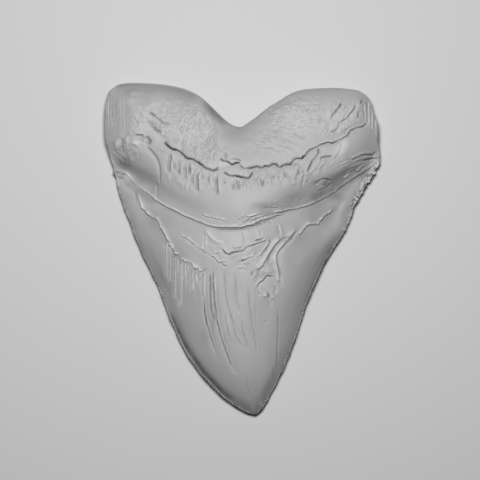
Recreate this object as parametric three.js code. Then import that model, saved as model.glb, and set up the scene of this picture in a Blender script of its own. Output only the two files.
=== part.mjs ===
// A fossil tooth of a giant shark, lying on its flat outer face. Millimetres, +Z up.
// +Y points to the root and -Y to the tip. The inner face, with the root's bulge, is on top.
import * as THREE from "three";
import { mergeVertices } from "three/addons/utils/BufferGeometryUtils.js";

// Driving sizes of the whole tooth
const TOOTH_WIDTH = 105.7;
const TOOTH_HEIGHT = 127.4;
const TOOTH_THICKNESS = 27;

// Mesh lines: across the tooth, and down its three bands
const COLUMNS = 66;
const ROWS_ABOVE_CRACK = 14;
const ROWS_ABOVE_LEDGE = 16;
const ROWS_OF_CROWN = 28;

// Rim of the root, seen from above
const ROOT_CORNER_LEFT = [-51.1, 60.4];
const ROOT_CORNER_RIGHT = [47.6, 58.9];
const NOTCH = [-0.9, 46.3];
const LEFT_LOBE_TOP = [
  ROOT_CORNER_LEFT, [-48, 62.9], [-43.7, 63.7], [-36, 63.6], [-27.6, 62.8], [-21.5, 61.4],
  [-16.1, 58.7], [-12.2, 55.2], [-8.4, 51.4], [-4.6, 48], NOTCH,
];
const RIGHT_LOBE_TOP = [
  NOTCH, [3.1, 49], [6.9, 51.8], [10.8, 54.9], [14.6, 57.1], [18.5, 59.6], [22.3, 61],
  [28, 61.6], [35.7, 61.8], [41, 61.4], [45, 60.6], ROOT_CORNER_RIGHT,
];

// Rims of the flanks and the crown, with the rim's height over the surface the tooth lies on
const ROOT_RIM_HEIGHT = 8;
const LEFT_FLANK_UPPER = [
  [...ROOT_CORNER_LEFT, ROOT_RIM_HEIGHT], [-52.3, 55.6, 8], [-52.8, 51, 8], [-52.9, 47.2, 8],
];
const LEFT_FLANK_LOWER = [
  [-52.9, 47.2, 8], [-52.6, 42, 7.8], [-51.4, 37.9, 7],
  [-50.2, 34.1, 6], [-49.4, 31, 5.2], [-48.9, 28.4, 4.8],
];
const RIGHT_FLANK_UPPER = [
  [...ROOT_CORNER_RIGHT, ROOT_RIM_HEIGHT], [49.2, 56.4, 8], [49.9, 53.3, 8],
  [51.1, 50.4, 8], [51.9, 48.4, 8],
];
const RIGHT_FLANK_LOWER = [
  [51.9, 48.4, 8], [52.3, 44, 7.8], [52.2, 39.9, 7], [52.8, 36, 6], [52.7, 32.8, 5.2],
];
const LEFT_CUTTING_EDGE = [
  [-48.9, 28.4, 4.8], [-47.6, 26.4, 4.7], [-47.4, 22.6, 4.6], [-46.4, 18.8, 4.5], [-43.3, 11.1, 4.4],
  [-40.6, 3.4, 4.4], [-35.3, -8.1, 4.3], [-31.4, -15.8, 4.2], [-29.1, -23.4, 4.1], [-25.7, -31.1, 4],
  [-22.2, -38.8, 3.9], [-15.8, -48, 3.8], [-8, -56.2, 3.6], [-0.2, -61.8, 3.5], [2.6, -63.2, 3.4],
];
const RIGHT_CUTTING_EDGE = [
  [52.7, 32.8, 5.2], [51.9, 30.4, 5], [49.9, 28, 4.9], [46.9, 22.6, 4.8], [44.2, 18.8, 4.7],
  [41.1, 11.1, 4.6], [39.6, 7, 4.5], [34.6, -0.4, 4.4], [30.4, -8.1, 4.3], [26.9, -15.8, 4.2],
  [23.8, -23.4, 4.1], [21.5, -31.1, 4], [18.8, -38.8, 3.9], [15.4, -46.9, 3.8], [11.5, -54.5, 3.6],
  [8.1, -60.9, 3.5], [6.9, -62.4, 3.4],
];
const WORN_TIP = [[2.6, -63.2], [4.5, -63.7], [6.2, -63.2], [6.9, -62.4]];

// The long crack across the root, from flank to flank, and the ledge where the root meets the crown
const CRACK_LEFT = [
  [-52.9, 47.2], [-43, 49], [-35.3, 47.9], [-32.2, 44.9], [-29.4, 40.6], [-26.8, 38.1],
  [-21.1, 35], [-16.5, 33], [-11, 30.3], [-6, 31.6], [-0.8, 32],
];
const CRACK_RIGHT = [
  [-0.8, 32], [3.9, 31], [11.7, 32], [18.5, 32.3], [22.8, 34.7], [25.6, 37.8],
  [29.6, 39.6], [37.7, 41.6], [41.2, 45], [47.8, 48], [51.9, 48.4],
];
const LEDGE_LEFT = [
  [-48.9, 28.4], [-44.5, 27.6], [-40.3, 23.6], [-32.8, 18.2],
  [-25.5, 14.2], [-15.7, 9.9], [-9.8, 8.1], [-0.7, 8],
];
const LEDGE_RIGHT = [
  [-0.7, 8], [6.2, 10], [13.1, 12.6], [18, 15], [23.8, 16.1],
  [31.8, 19.9], [41.1, 25.7], [48.3, 30], [52.7, 32.8],
];

// Heights of the inner face over the surface the tooth lies on, in equal steps from the left rim to the
// right one, at stations down the tooth. Station 0 is the top rim, 1 the crack, 2 the ledge and 3 the tip.
const LEDGE_STATION = 2;
const TIP_STATION = 3;
const ROOT_STATIONS = [0, 0.35, 1, 1.3, 1.5, 1.65, 1.8, LEDGE_STATION];
const ROOT_HEIGHTS = [
  [10.5, 14.8, 15.8, 15.8, 15.8, 16.4, 16.5, 16.4, 16, 14.4, 10],
  [10.5, 14.8, 15.8, 16, 16.2, 16.8, 16.8, 16.8, 16.4, 14.4, 10],
  [11, 15, 17, 18.4, 20, 21, 20.6, 19.4, 18.2, 15.2, 10.5],
  [10.2, 14.8, 16.8, 19.2, 22.4, 24.6, 23.6, 21.3, 18.9, 16.1, 10],
  [9, 13.6, 16.4, 19.7, 23.3, 25.6, 24.5, 21.3, 18.4, 15.6, 9.4],
  [6.8, 11.4, 15.4, 19.4, 23.4, 25.9, 24.4, 20.3, 17, 13.8, 7.8],
  [5, 7.8, 13.4, 18.4, 23.1, 25.7, 23.5, 18, 13, 9, 5.4],
  [5, 7.4, 12.9, 17.9, 22.4, 24.5, 21.5, 15.6, 10.2, 6.8, 5.3],
];
const CROWN_STATIONS = [LEDGE_STATION, 2.1, 2.3, 2.5, 2.7, 2.85, TIP_STATION];
const CROWN_HEIGHTS = [
  [4.8, 7, 12, 17, 21.3, 23, 20.4, 14.6, 9.2, 6.1, 5.1],
  [5.8, 8.9, 13.2, 17.7, 21.6, 23.4, 21.7, 17.4, 12, 7.3, 5.4],
  [7, 11.2, 15.2, 18.6, 21.1, 22, 21.3, 19.1, 15.9, 11.4, 6.6],
  [7, 11, 14.5, 17.3, 19.2, 20, 19.6, 18.2, 15.8, 11.8, 6.8],
  [6.5, 9.6, 12.1, 14.1, 15.6, 16.6, 16.7, 15.8, 13.7, 10.6, 6.6],
  [5.6, 7.6, 9.2, 10.5, 11.6, 12.4, 12.8, 12.4, 11, 8.8, 5.8],
  [4.5, 5.2, 5.6, 6, 6.3, 6.6, 6.8, 6.7, 6.3, 5.5, 4.5],
];

// The rim is round on the root and more of a bevel on the crown, and changes over between these stations.
// A roundness of 0.5 makes a quarter circle, and 1 a parabola.
const ROOT_RIM_RADIUS = 8;
const ROOT_ROUNDNESS = 0.6;
const CROWN_RIM_RADIUS = 4;
const CROWN_ROUNDNESS = 0.85;
const RIM_CHANGE = [1.6, 2.05];

// Raised neck band under the ledge, down to its ragged lower line
const BAND_STEP = 0.6;
const BAND_RAMP = 0.8;
const BAND_LINE = [
  [-41.1, 21.3], [-38.8, 15.5], [-34.9, 11.9], [-31, 7.6], [-27.4, 1], [-21.2, -4.9], [-16.8, -8.4],
  [-9.9, -4.6], [-6.6, -6.7], [2.3, -3.1], [8, 2.1], [16.9, 4.2], [22.1, 5.3], [25.3, 9.6], [29.2, 9.6],
  [35.5, 15.1],
];

// Grooves of the inner face: how far they reach to each side, their depth and their paths
const CRACK = { reach: 1.3, depth: 0.8, paths: [[...CRACK_LEFT.slice(2), ...CRACK_RIGHT.slice(1, -1)]] };
const SIDE_CRACKS = {
  reach: 1.2,
  depth: 0.4,
  paths: [
    [[28.9, 38.4], [29.4, 36.4], [26.7, 33.3], [24.7, 29.4]],
    [[-7.4, 30.1], [-4.4, 27.9], [-0.7, 27.3], [3.3, 27.3], [4.3, 29.7]],
    [[-36.2, 38.7], [-33.3, 35.5], [-31.7, 31.5], [-31, 28]],
    [[38, 55.5], [35, 51], [34, 48.5]],
    [[43.8, 55.4], [41.5, 50], [38, 48]],
  ],
};
const FURROWS = {
  reach: 1.3,
  depth: 0.6,
  paths: [
    [[-28, 31.8], [-28, 24.9]],
    [[-24.1, 32.6], [-24.1, 27.2]],
    [[-20.3, 31.8], [-20.1, 24.1]],
    [[-16.7, 28.9], [-16.7, 22.1]],
    [[-12.7, 28.7], [-12.7, 24.9]],
    [[-9.6, 28], [-9.6, 20.5]],
    [[-1.5, 27.2], [-1.5, 23.4]],
    [[2.6, 26.4], [2.6, 23]],
    [[7.7, 28], [7.7, 23.4]],
    [[12.1, 29.1], [12.1, 25.3]],
    [[16.8, 29.1], [16.8, 25.7]],
    [[21.9, 30.3], [21.9, 26.4]],
  ],
};
const FLUTES = {
  reach: 1.3,
  depth: 0.4,
  paths: [
    [[-28.5, -0.4], [-28.2, -15.8]],
    [[-24.6, -3.5], [-24.2, -20.8]],
    [[-20.8, -4.8], [-20.4, -20]],
    [[-17.6, -8.1], [-17.4, -20.5]],
    [[-14.9, -8.9], [-14.4, -21.5], [-13, -29.4], [-10.1, -39.4]],
    [[-11, -7.3], [-10.5, -19], [-8.9, -28.4], [-6.6, -37.8], [-3, -45.7]],
    [[-6.9, -8.9], [-6.2, -17.1], [-4.5, -24.5], [-0.3, -36.5]],
    [[-2.5, -10], [-1.9, -20], [1.4, -34.7]],
  ],
};
const FOLDS = {
  reach: 1.6,
  depth: 0.7,
  paths: [
    [[16.7, 3.4], [13.5, 1], [11.2, -2.5], [10, -4.9]],
    [[13.2, -3.2], [14.1, -12]],
    [[6.2, -9.5], [6, -14.5]],
  ],
};
const HOLLOWS = {
  reach: 4.2,
  depth: 1.6,
  paths: [
    [[-49.6, 32.4], [-45.8, 30], [-41.2, 27.6], [-35.5, 25]],
    [[51.6, 34.8], [47, 31], [41, 27.2], [36, 24.8], [31.9, 22.8]],
  ],
};
const GROOVES = [CRACK, SIDE_CRACKS, FURROWS, FLUTES, FOLDS, HOLLOWS];

// Lumps and pits of the inner face: place, half sizes and height, with pits below zero
const LUMPS = [
  { x: -38.7, y: 41.4, across: 3.4, down: 2.2, rise: -1.3 },
  { x: -39, y: 44.3, across: 3.5, down: 1.8, rise: 0.7 },
  { x: -42, y: 59.1, across: 3.5, down: 2.5, rise: 0.6 },
  { x: -38.3, y: 56.8, across: 3.5, down: 2.2, rise: -0.5 },
  { x: 8.9, y: -13, across: 3, down: 5, rise: -1.2 },
  { x: 9.3, y: -7.6, across: 3, down: 2, rise: 0.8 },
  { x: 8.7, y: -17.8, across: 2, down: 2, rise: 0.6 },
  { x: 17.5, y: 5.2, across: 4.5, down: 2.2, rise: 0.7 },
  { x: 28.2, y: 24.6, across: 2.6, down: 2, rise: -1 },
  { x: -48, y: 39.9, across: 2.6, down: 3, rise: 0.6 },
  { x: -46.8, y: 28.2, across: 2.6, down: 1.4, rise: 0.5 },
];

// Outer face, underneath: how far the crown lies flat, and the hollow between the lobes, both as shares of
// the half width, and the hollow across the neck
const FLAT_HALF = 0.4;
const LOBE_HOLLOW_HALF = 0.22;
const LOBE_HOLLOW = 1.2;
const NECK_STATION = 2.02;
const NECK_REACH = 0.13;
const NECK_HOLLOW = 1.4;
const OUTER_CHANGE = [1.7, 2.1];
const OUTER_EDGE_RADIUS = 1;

// Teeth along the cutting edges, and coarser chips on the right shoulder
const SERRATION = 0.22;
const SERRATED_STATIONS = [2.02, 2.97];
const SHOULDER_CHIPS = 0.4;
const SHOULDER_END = 2.25;

// How strongly the mesh lines crowd at the rims
const TOP_CROWDING = 1.7;
const SIDE_CROWDING = 0.75;
const TIP_CROWDING = 0.35;
const FIRST_CROWN_ROW = 0.2;

const { clamp, lerp, smoothstep } = THREE.MathUtils;

// A curve through hand-picked points, walked at an even pace as u goes from 0 to 1
function lineThrough(points) {
  const vectors = points.map(([x, y, z = 0]) => new THREE.Vector3(x, y, z));
  const curve = new THREE.CatmullRomCurve3(vectors, false, "centripetal");
  return (u) => curve.getPointAt(clamp(u, 0, 1));
}

// Two curves that meet in the middle of the tooth, walked as one
function lineAcross(leftPoints, rightPoints) {
  const left = lineThrough(leftPoints);
  const right = lineThrough(rightPoints);
  return (u) => (u < 0.5 ? left(2 * u) : right(2 * u - 1));
}

// The three bands of the tooth, each between a line above, a line below and the rim on both sides
const rootTop = lineAcross(LEFT_LOBE_TOP, RIGHT_LOBE_TOP);
const longCrack = lineAcross(CRACK_LEFT, CRACK_RIGHT);
const ledge = lineAcross(LEDGE_LEFT, LEDGE_RIGHT);
const tip = lineThrough(WORN_TIP);
const band = (above, below, leftRim, rightRim) => ({
  above,
  below,
  left: lineThrough(leftRim),
  right: lineThrough(rightRim),
});
const BANDS = [
  band(rootTop, longCrack, LEFT_FLANK_UPPER, RIGHT_FLANK_UPPER),
  band(longCrack, ledge, LEFT_FLANK_LOWER, RIGHT_FLANK_LOWER),
  band(ledge, tip, LEFT_CUTTING_EDGE, RIGHT_CUTTING_EDGE),
];

// The place in plan at u across and v down one band. Its z is the rim's height, carried across.
function placeInBand({ above, below, left, right }, u, v) {
  const onLeft = left(v);
  const onRight = right(v);
  const between = (share) => new THREE.Vector3().lerpVectors(above(share), below(share), v);
  const bulgeLeft = onLeft.clone().sub(between(0));
  const bulgeRight = onRight.clone().sub(between(1));
  const place = between(u).add(bulgeLeft.lerp(bulgeRight, u));
  place.z = lerp(onLeft.z, onRight.z, u);
  return place;
}

// Distance in plan to the rim, from points spread along the whole of it
const TOP_SAMPLES = 240;
const SIDE_SAMPLES = 80;
const RIM_POINTS = [];
for (let i = 0; i <= TOP_SAMPLES; i++) RIM_POINTS.push(rootTop(i / TOP_SAMPLES));
for (const { left, right } of BANDS) {
  for (let i = 0; i <= SIDE_SAMPLES; i++) RIM_POINTS.push(left(i / SIDE_SAMPLES), right(i / SIDE_SAMPLES));
}
function distanceToRim(place) {
  return Math.min(...RIM_POINTS.map((point) => Math.hypot(point.x - place.x, point.y - place.y)));
}

// Share of the full height at a distance in from a rounded rim
function roundedRim(distance, radius, roundness) {
  const left = 1 - clamp(distance / radius, 0, 1);
  return (1 - left * left) ** roundness;
}

// A smooth function through values, or rows of values, given at rising positions
function valuesAt(positions, values) {
  const size = Array.isArray(values[0]) ? values[0].length : 1;
  const interpolant = new THREE.CubicInterpolant(positions, values.flat(), size);
  return (at) => interpolant.evaluate(clamp(at, positions[0], positions.at(-1)));
}

// A smooth surface over a table of heights, one row for each station
function heightTable(stations, rows) {
  const columns = rows[0].map((_, column) => rows.map((row) => row[column]));
  const shares = columns.map((_, i) => i / (columns.length - 1));
  const acrossRows = valuesAt(shares, columns);
  return (u, station) => valuesAt(stations, [...acrossRows(u)])(station)[0];
}
const rootFace = heightTable(ROOT_STATIONS, ROOT_HEIGHTS);
const crownFace = heightTable(CROWN_STATIONS, CROWN_HEIGHTS);

// Distance from a place in plan to a path of straight steps
function distanceToPath(path, place) {
  let nearest = Infinity;
  for (let i = 1; i < path.length; i++) {
    const [stepX, stepY] = [path[i][0] - path[i - 1][0], path[i][1] - path[i - 1][1]];
    const [offX, offY] = [place.x - path[i - 1][0], place.y - path[i - 1][1]];
    const share = clamp((offX * stepX + offY * stepY) / (stepX ** 2 + stepY ** 2), 0, 1);
    nearest = Math.min(nearest, Math.hypot(offX - share * stepX, offY - share * stepY));
  }
  return nearest;
}

// The y of a line that runs from left to right, at a place across the tooth
function lineAt(line, x) {
  const next = line.findIndex(([pointX]) => pointX > x);
  if (next < 1) return next < 0 ? line.at(-1)[1] : line[0][1];
  const [x0, y0] = line[next - 1];
  const [x1, y1] = line[next];
  return lerp(y0, y1, (x - x0) / (x1 - x0));
}

// A smooth hump that is 1 in its middle and 0 from the distance 1 on
const hump = (distance) => (distance < 1 ? (1 - distance ** 2) ** 2 : 0);

// Relief of the inner face at a place: grooves, lumps and pits, and the neck band on the crown
function relief(place, station) {
  let height = 0;
  for (const { reach, depth, paths } of GROOVES) {
    const nearest = Math.min(...paths.map((path) => distanceToPath(path, place)));
    height -= depth * hump(nearest / reach);
  }
  for (const { x, y, across, down, rise } of LUMPS) {
    height += rise * hump(Math.hypot((place.x - x) / across, (place.y - y) / down));
  }
  if (station > LEDGE_STATION) {
    const above = Math.sign(place.y - lineAt(BAND_LINE, place.x));
    height += BAND_STEP * smoothstep(above * distanceToPath(BAND_LINE, place), -BAND_RAMP, BAND_RAMP);
  }
  return height;
}

// Inner face, on top
function innerHeight(u, station, place) {
  const full = station > LEDGE_STATION ? crownFace(u, station) : rootFace(u, station);
  const change = smoothstep(station, ...RIM_CHANGE);
  const radius = lerp(ROOT_RIM_RADIUS, CROWN_RIM_RADIUS, change);
  const roundness = lerp(ROOT_ROUNDNESS, CROWN_ROUNDNESS, change);
  return lerp(place.z, full + relief(place, station), roundedRim(distanceToRim(place), radius, roundness));
}

// Outer face, underneath: flat on the crown and both lobes, hollowed between the lobes and at the neck
function outerHeight(u, station, place) {
  const side = Math.abs(2 * u - 1);
  const inCrown = smoothstep(station, ...OUTER_CHANGE);
  const crown = place.z * (Math.max(side - FLAT_HALF, 0) / (1 - FLAT_HALF)) ** 2;
  const lobes = LOBE_HOLLOW * Math.exp(-((side / LOBE_HOLLOW_HALF) ** 2));
  const neck = NECK_HOLLOW * Math.exp(-(((station - NECK_STATION) / NECK_REACH) ** 2)) * (1 - side ** 4);
  const radius = lerp(ROOT_RIM_RADIUS, OUTER_EDGE_RADIUS, inCrown);
  const inside = roundedRim(distanceToRim(place), radius, ROOT_ROUNDNESS);
  return lerp(place.z, lerp(lobes, crown, inCrown), inside) + neck;
}

// Rows crowd together at the top rim and towards the tip, and one lies close under the ledge
function rowStations() {
  const stations = [];
  for (let i = 0; i < ROWS_ABOVE_CRACK; i++) stations.push((i / ROWS_ABOVE_CRACK) ** TOP_CROWDING);
  for (let i = 0; i <= ROWS_ABOVE_LEDGE; i++) stations.push(1 + i / ROWS_ABOVE_LEDGE);
  for (let i = 0; i < ROWS_OF_CROWN; i++) {
    const even = (i + FIRST_CROWN_ROW) / (ROWS_OF_CROWN - 1 + FIRST_CROWN_ROW);
    stations.push(LEDGE_STATION + lerp(even, Math.sin((even * Math.PI) / 2), TIP_CROWDING));
  }
  return stations;
}

// Columns crowd together at both sides
function columnShares() {
  const crowded = (even) => lerp(even, 0.5 - 0.5 * Math.cos(even * Math.PI), SIDE_CROWDING);
  return Array.from({ length: COLUMNS + 1 }, (_, i) => crowded(i / COLUMNS));
}

// How far a point of the cutting edge stands out: every other row is a tooth
function serration(u, station, row) {
  if (station < SERRATED_STATIONS[0] || station > SERRATED_STATIONS[1]) return 0;
  const size = u === 1 && station < SHOULDER_END ? SHOULDER_CHIPS : SERRATION;
  return (u === 0 ? -1 : 1) * (row % 2 === 0 ? size : -size);
}

// Vertices of one face of the tooth. The rim is shared by both faces.
function faceVertices(heightAt, stations, shares) {
  return stations.map((station, row) =>
    shares.map((u) => {
      const bandIndex = Math.min(Math.floor(station), BANDS.length - 1);
      const place = placeInBand(BANDS[bandIndex], u, station - bandIndex);
      const onSide = u === 0 || u === 1;
      if (onSide) place.x += serration(u, station, row);
      else if (station > 0 && station < TIP_STATION) place.z = heightAt(u, station, place);
      return place;
    }),
  );
}

// Triangles of the inner face, two for each cell of its grid
function innerTriangles(grid) {
  const triangles = [];
  for (let row = 1; row < grid.length; row++) {
    for (let column = 1; column <= COLUMNS; column++) {
      const [a, d] = grid[row - 1].slice(column - 1, column + 1);
      const [b, c] = grid[row].slice(column - 1, column + 1);
      triangles.push(a, b, c, a, c, d);
    }
  }
  return triangles;
}

// Triangles of the outer face, which is twice as coarse and keeps every vertex of the rim.
// Each cell is a fan from its corner nearest to the middle of the tooth.
const CELL_RING = [[0, 0], [1, 0], [2, 0], [2, 1], [2, 2], [1, 2], [0, 2], [0, 1]];
function outerTriangles(grid) {
  const triangles = [];
  const rows = grid.length - 1;
  const isKept = ([row, column]) =>
    (row % 2 === 0 && column % 2 === 0) || row === 0 || row === rows || column === 0 || column === COLUMNS;
  for (let row = 0; row < rows; row += 2) {
    for (let column = 0; column < COLUMNS; column += 2) {
      const ring = CELL_RING.map(([down, right]) => [row + down, column + right]).filter(isKept);
      const fanRow = row < rows / 2 ? row + 2 : row;
      const fanColumn = column < COLUMNS / 2 ? column + 2 : column;
      const start = ring.findIndex(([r, c]) => r === fanRow && c === fanColumn);
      const [hub, ...fan] = [...ring.slice(start), ...ring.slice(0, start)].map(([r, c]) => grid[r][c]);
      for (let i = 1; i < fan.length; i++) triangles.push(hub, fan[i], fan[i - 1]);
    }
  }
  return triangles;
}

// The closed tooth, centred over its resting surface and brought to its driving sizes
const MERGE_DISTANCE = 1e-3;
function toothGeometry() {
  const stations = rowStations();
  const shares = columnShares();
  const inner = innerTriangles(faceVertices(innerHeight, stations, shares));
  const outer = outerTriangles(faceVertices(outerHeight, stations, shares));
  const geometry = new THREE.BufferGeometry().setFromPoints([...inner, ...outer]);
  geometry.computeBoundingBox();
  const { min, max } = geometry.boundingBox;
  geometry.translate(-(min.x + max.x) / 2, -(min.y + max.y) / 2, -min.z);
  const { x, y, z } = max.clone().sub(min);
  geometry.scale(TOOTH_WIDTH / x, TOOTH_HEIGHT / y, TOOTH_THICKNESS / z);
  const merged = mergeVertices(geometry, MERGE_DISTANCE);
  merged.computeVertexNormals();
  return merged;
}

const fossil = new THREE.MeshStandardMaterial({ color: 0xb9b9b9, roughness: 0.75, metalness: 0 });
const tooth = new THREE.Mesh(toothGeometry(), fossil);
tooth.name = "megalodon_tooth";

const model = new THREE.Group();
model.add(tooth);
export default model;
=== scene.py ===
"""A large fossil shark tooth on a pale floor: the fine surface over its solid, its finish and its studio."""
import math
from typing import NamedTuple

import bpy
import numpy as np
from bpy.props import FloatProperty, FloatVectorProperty, IntProperty, PointerProperty
from bpy.types import Operator, Panel, PropertyGroup
from mathutils import Matrix, noise


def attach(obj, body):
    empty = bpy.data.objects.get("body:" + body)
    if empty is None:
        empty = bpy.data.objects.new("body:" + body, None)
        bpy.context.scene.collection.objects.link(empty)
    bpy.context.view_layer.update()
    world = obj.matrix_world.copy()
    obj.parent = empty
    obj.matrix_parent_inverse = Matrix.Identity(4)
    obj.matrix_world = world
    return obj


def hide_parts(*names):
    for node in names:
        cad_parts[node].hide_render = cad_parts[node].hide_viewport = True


bl_info = {
    "name": "Fossil Tooth",
    "version": (1, 0, 0),
    "blender": (4, 5, 0),
    "location": "View3D > Sidebar > Fossil",
    "description": "Gives a fossil tooth its fine surface and finish, and sets up its studio",
    "category": "Add Mesh",
}

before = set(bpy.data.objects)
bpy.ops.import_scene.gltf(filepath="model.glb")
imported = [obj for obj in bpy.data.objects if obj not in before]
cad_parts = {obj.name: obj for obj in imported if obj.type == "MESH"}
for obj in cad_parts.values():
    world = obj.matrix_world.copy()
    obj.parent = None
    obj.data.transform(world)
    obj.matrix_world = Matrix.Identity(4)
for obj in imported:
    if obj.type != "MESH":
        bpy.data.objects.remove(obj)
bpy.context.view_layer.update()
SOLID = "megalodon_tooth"
MM = 0.001


class Strokes(NamedTuple):
    """Lines of one kind on one face, in millimetres: paths, half width and height, with grooves below zero.
    A lip stands along their left side, and a step lifts that side. They fade out over the run-out at their
    ends, beads are how far their height comes and goes on the way, the painted shade how dark their groove
    is painted, the painted highlight how pale the lip or, without one, the line is painted, and wobble how
    far they stray."""

    paths: list
    width: float
    height: float
    lip: float = 0
    step: float = 0
    run_out: float = 1.5
    beads: float = 0.3
    painted_shade: float = 0
    painted_highlight: float = 0
    wobble: float = 0.1


class Grain(NamedTuple):
    """Fine relief in an oval of one face, in millimetres: the oval's centre and half sizes, the relief's
    height and the size of its lumps, how many times longer than wide they are, and how far they lean over to
    the right from upright, in degrees."""

    centre: tuple
    reach: tuple
    height: float
    size: float
    stretch: float = 1.0
    lean: float = 0.0


class Swell(NamedTuple):
    """A swelling of the inner face, or below zero a hollow, in millimetres, and how pale it is painted as a
    highlight. At the height 0 it is only a pale patch of painted light."""

    centre: tuple
    reach: tuple
    height: float
    painted_highlight: float = 0


class ShadePatch(NamedTuple):
    """A faint dark oval of painted shade on the inner face, in millimetres, and how dark it is painted."""

    centre: tuple
    reach: tuple
    painted_shade: float


def down(x, top, bottom):
    """A straight line down the tooth at x."""
    return [(x, top), (x, bottom)]


# The line where the root ends and the crown starts, from left to right
LEDGE = [
    (-49.1, 29.1), (-46.8, 28.5), (-44.5, 28.5), (-42.9, 26.1), (-40.3, 23.6), (-36.8, 21.3), (-32.8, 18.2),
    (-29.4, 16.1), (-25.5, 14.2), (-21.6, 12.2), (-15.7, 9.9), (-12.7, 8.6), (-9.8, 8), (-0.7, 8),
    (3.3, 8.8), (6.2, 10.2), (9.1, 10.9), (13.1, 12.5), (16, 12.5),
]
LEDGE_RIGHT = [
    (11.2, 13.3), (15, 14), (18, 14.6), (20.9, 15), (26.7, 16.8), (31.8, 19.3), (34.6, 20.9), (36, 21.4),
    (37.6, 23.3), (41.1, 25.7), (45.4, 28.4), (48.3, 29.9), (49.9, 31.6), (51.6, 32.7),
]

# Cutting edges, down from the root to the tip
LEFT_EDGE = [
    (-48.9, 28.4), (-47.6, 26.4), (-47.4, 22.6), (-46.4, 18.8), (-43.3, 11.1), (-40.6, 3.4), (-35.3, -8.1),
    (-31.4, -15.8), (-29.1, -23.4), (-25.7, -31.1), (-22.2, -38.8), (-15.8, -48), (-8, -56.2),
    (-0.2, -61.8), (2.6, -63.2),
]
RIGHT_EDGE = [
    (52.7, 32.8), (51.9, 30.4), (49.9, 28), (46.9, 22.6), (44.2, 18.8), (41.1, 11.1), (39.6, 7),
    (34.6, -0.4), (30.4, -8.1), (26.9, -15.8), (23.8, -23.4), (21.5, -31.1), (18.8, -38.8), (15.4, -46.9),
    (11.5, -54.5), (8.1, -60.9), (6.9, -62.4),
]

# Cracks, creases and folds of the root
LONG_CRACK = Strokes(width=0.5, height=-1.1, run_out=1, beads=0.2, painted_shade=1, paths=[
    [(-29.6, 40.8), (-28.2, 39.3), (-26.8, 38.2), (-24.9, 37.6), (-23.4, 36.8), (-21.2, 34.8),
     (-18.6, 34.1), (-16.5, 33), (-14.7, 31.7), (-13.4, 30.8), (-11, 30), (-9.6, 30.4), (-8.9, 31.3)],
    [(-8.6, 34.9), (-7.5, 33.8), (-5.9, 33.4), (-4.6, 32.6), (-3.6, 32.1), (-2.3, 32.7), (-0.4, 32.9)],
    [(-1.1, 32.2), (0.1, 31.2), (1.7, 30.7), (3.9, 31), (5.6, 31.5), (7.7, 30.9), (8.7, 31.6),
     (10.1, 31.5), (11.7, 32.3), (13.1, 32.3), (14, 31.2), (16.5, 32.1), (18.5, 32.3), (19.7, 33.8),
     (20.7, 34.4), (22.8, 34.5), (24, 35.8)],
    [(-7.4, 29.7), (-6, 28.7), (-4.8, 28), (-2, 27.7), (-0.5, 27.4), (2.6, 27.1), (3.8, 28.6), (4.4, 29.9)],
])
CRACK_END = Strokes(width=0.4, height=-0.7, lip=0.3, run_out=1, beads=0.35, painted_shade=0.85, painted_highlight=0.5, paths=[
    [(22.8, 34.5), (24, 35.8), (25.6, 37.8), (28.2, 38.7), (29.6, 39.6), (33, 40.7), (34.2, 40.3),
     (38.3, 42), (40.1, 43.3), (41.3, 45.2), (43.6, 46.2), (45.7, 46.7), (47, 47.7), (48.1, 48.1)],
])
SIDE_CRACKS = Strokes(width=0.6, height=-0.6, run_out=1.2, painted_shade=0.7, wobble=0.12, paths=[
    [(-4.6, 34.3), (-2.3, 34.5), (0.4, 33.5)],
    down(-6.2, 37.4, 33.6),
    [(38.3, 48.6), (37.3, 47.9), (36.3, 45.8), (35.2, 44.7), (33, 44.6)],
    [(39.9, 46.2), (39.6, 44.7)],
    [(-36.4, 39.1), (-34.8, 37.5), (-32.9, 35.1), (-31.9, 33.2), (-31.4, 31), (-31.2, 28.4), (-31.4, 24.9)],
    [(-35.8, 48.7), (-34.5, 47.2), (-32.2, 44.9), (-30.7, 43.7)],
    [(-35.6, 52.1), (-34.3, 51.4), (-31.8, 49.5), (-29.9, 48.1), (-26.8, 47.2)],
    [(27.8, 24.1), (29.1, 25.6), (30.8, 26.4), (32.5, 26.2), (34.2, 25.6)],
    [(-45.9, 42.6), (-45.6, 40), (-46, 37.4)],
])
LOBE_CRACKS = Strokes(width=0.55, height=-0.7, run_out=0.8, painted_shade=0.8, wobble=0.12, paths=[
    [(38, 55.9), (37.3, 54.2), (35.7, 52.1), (34, 50)],
    [(43.8, 55.4), (43.2, 53.8), (41.5, 51.4), (40.1, 49.7), (38.3, 48.6), (37.5, 47.6)],
    [(45, 52.8), (44.6, 51), (44.3, 49.7)],
    [(46.7, 57.4), (45.2, 55.2)],
    [(29.1, 38.9), (29.1, 36.4), (28.2, 35), (26.8, 33.6), (25.6, 30.7), (24.6, 29)],
    [(29.2, 34.4), (31.4, 35.1), (34.4, 35.2)],
])
POCKET = Strokes(width=0.8, height=-0.7, run_out=1, beads=0.1, painted_shade=0.7, paths=[
    [(-41, 43.1), (-37, 42.8)],
])
POCKET_HOLLOW = Strokes(width=1.4, height=-1, run_out=1.2, beads=0.1, painted_shade=0.72, paths=[
    [(-36.8, 43.1), (-35.3, 41.1), (-36.2, 39.2)],
])
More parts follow.
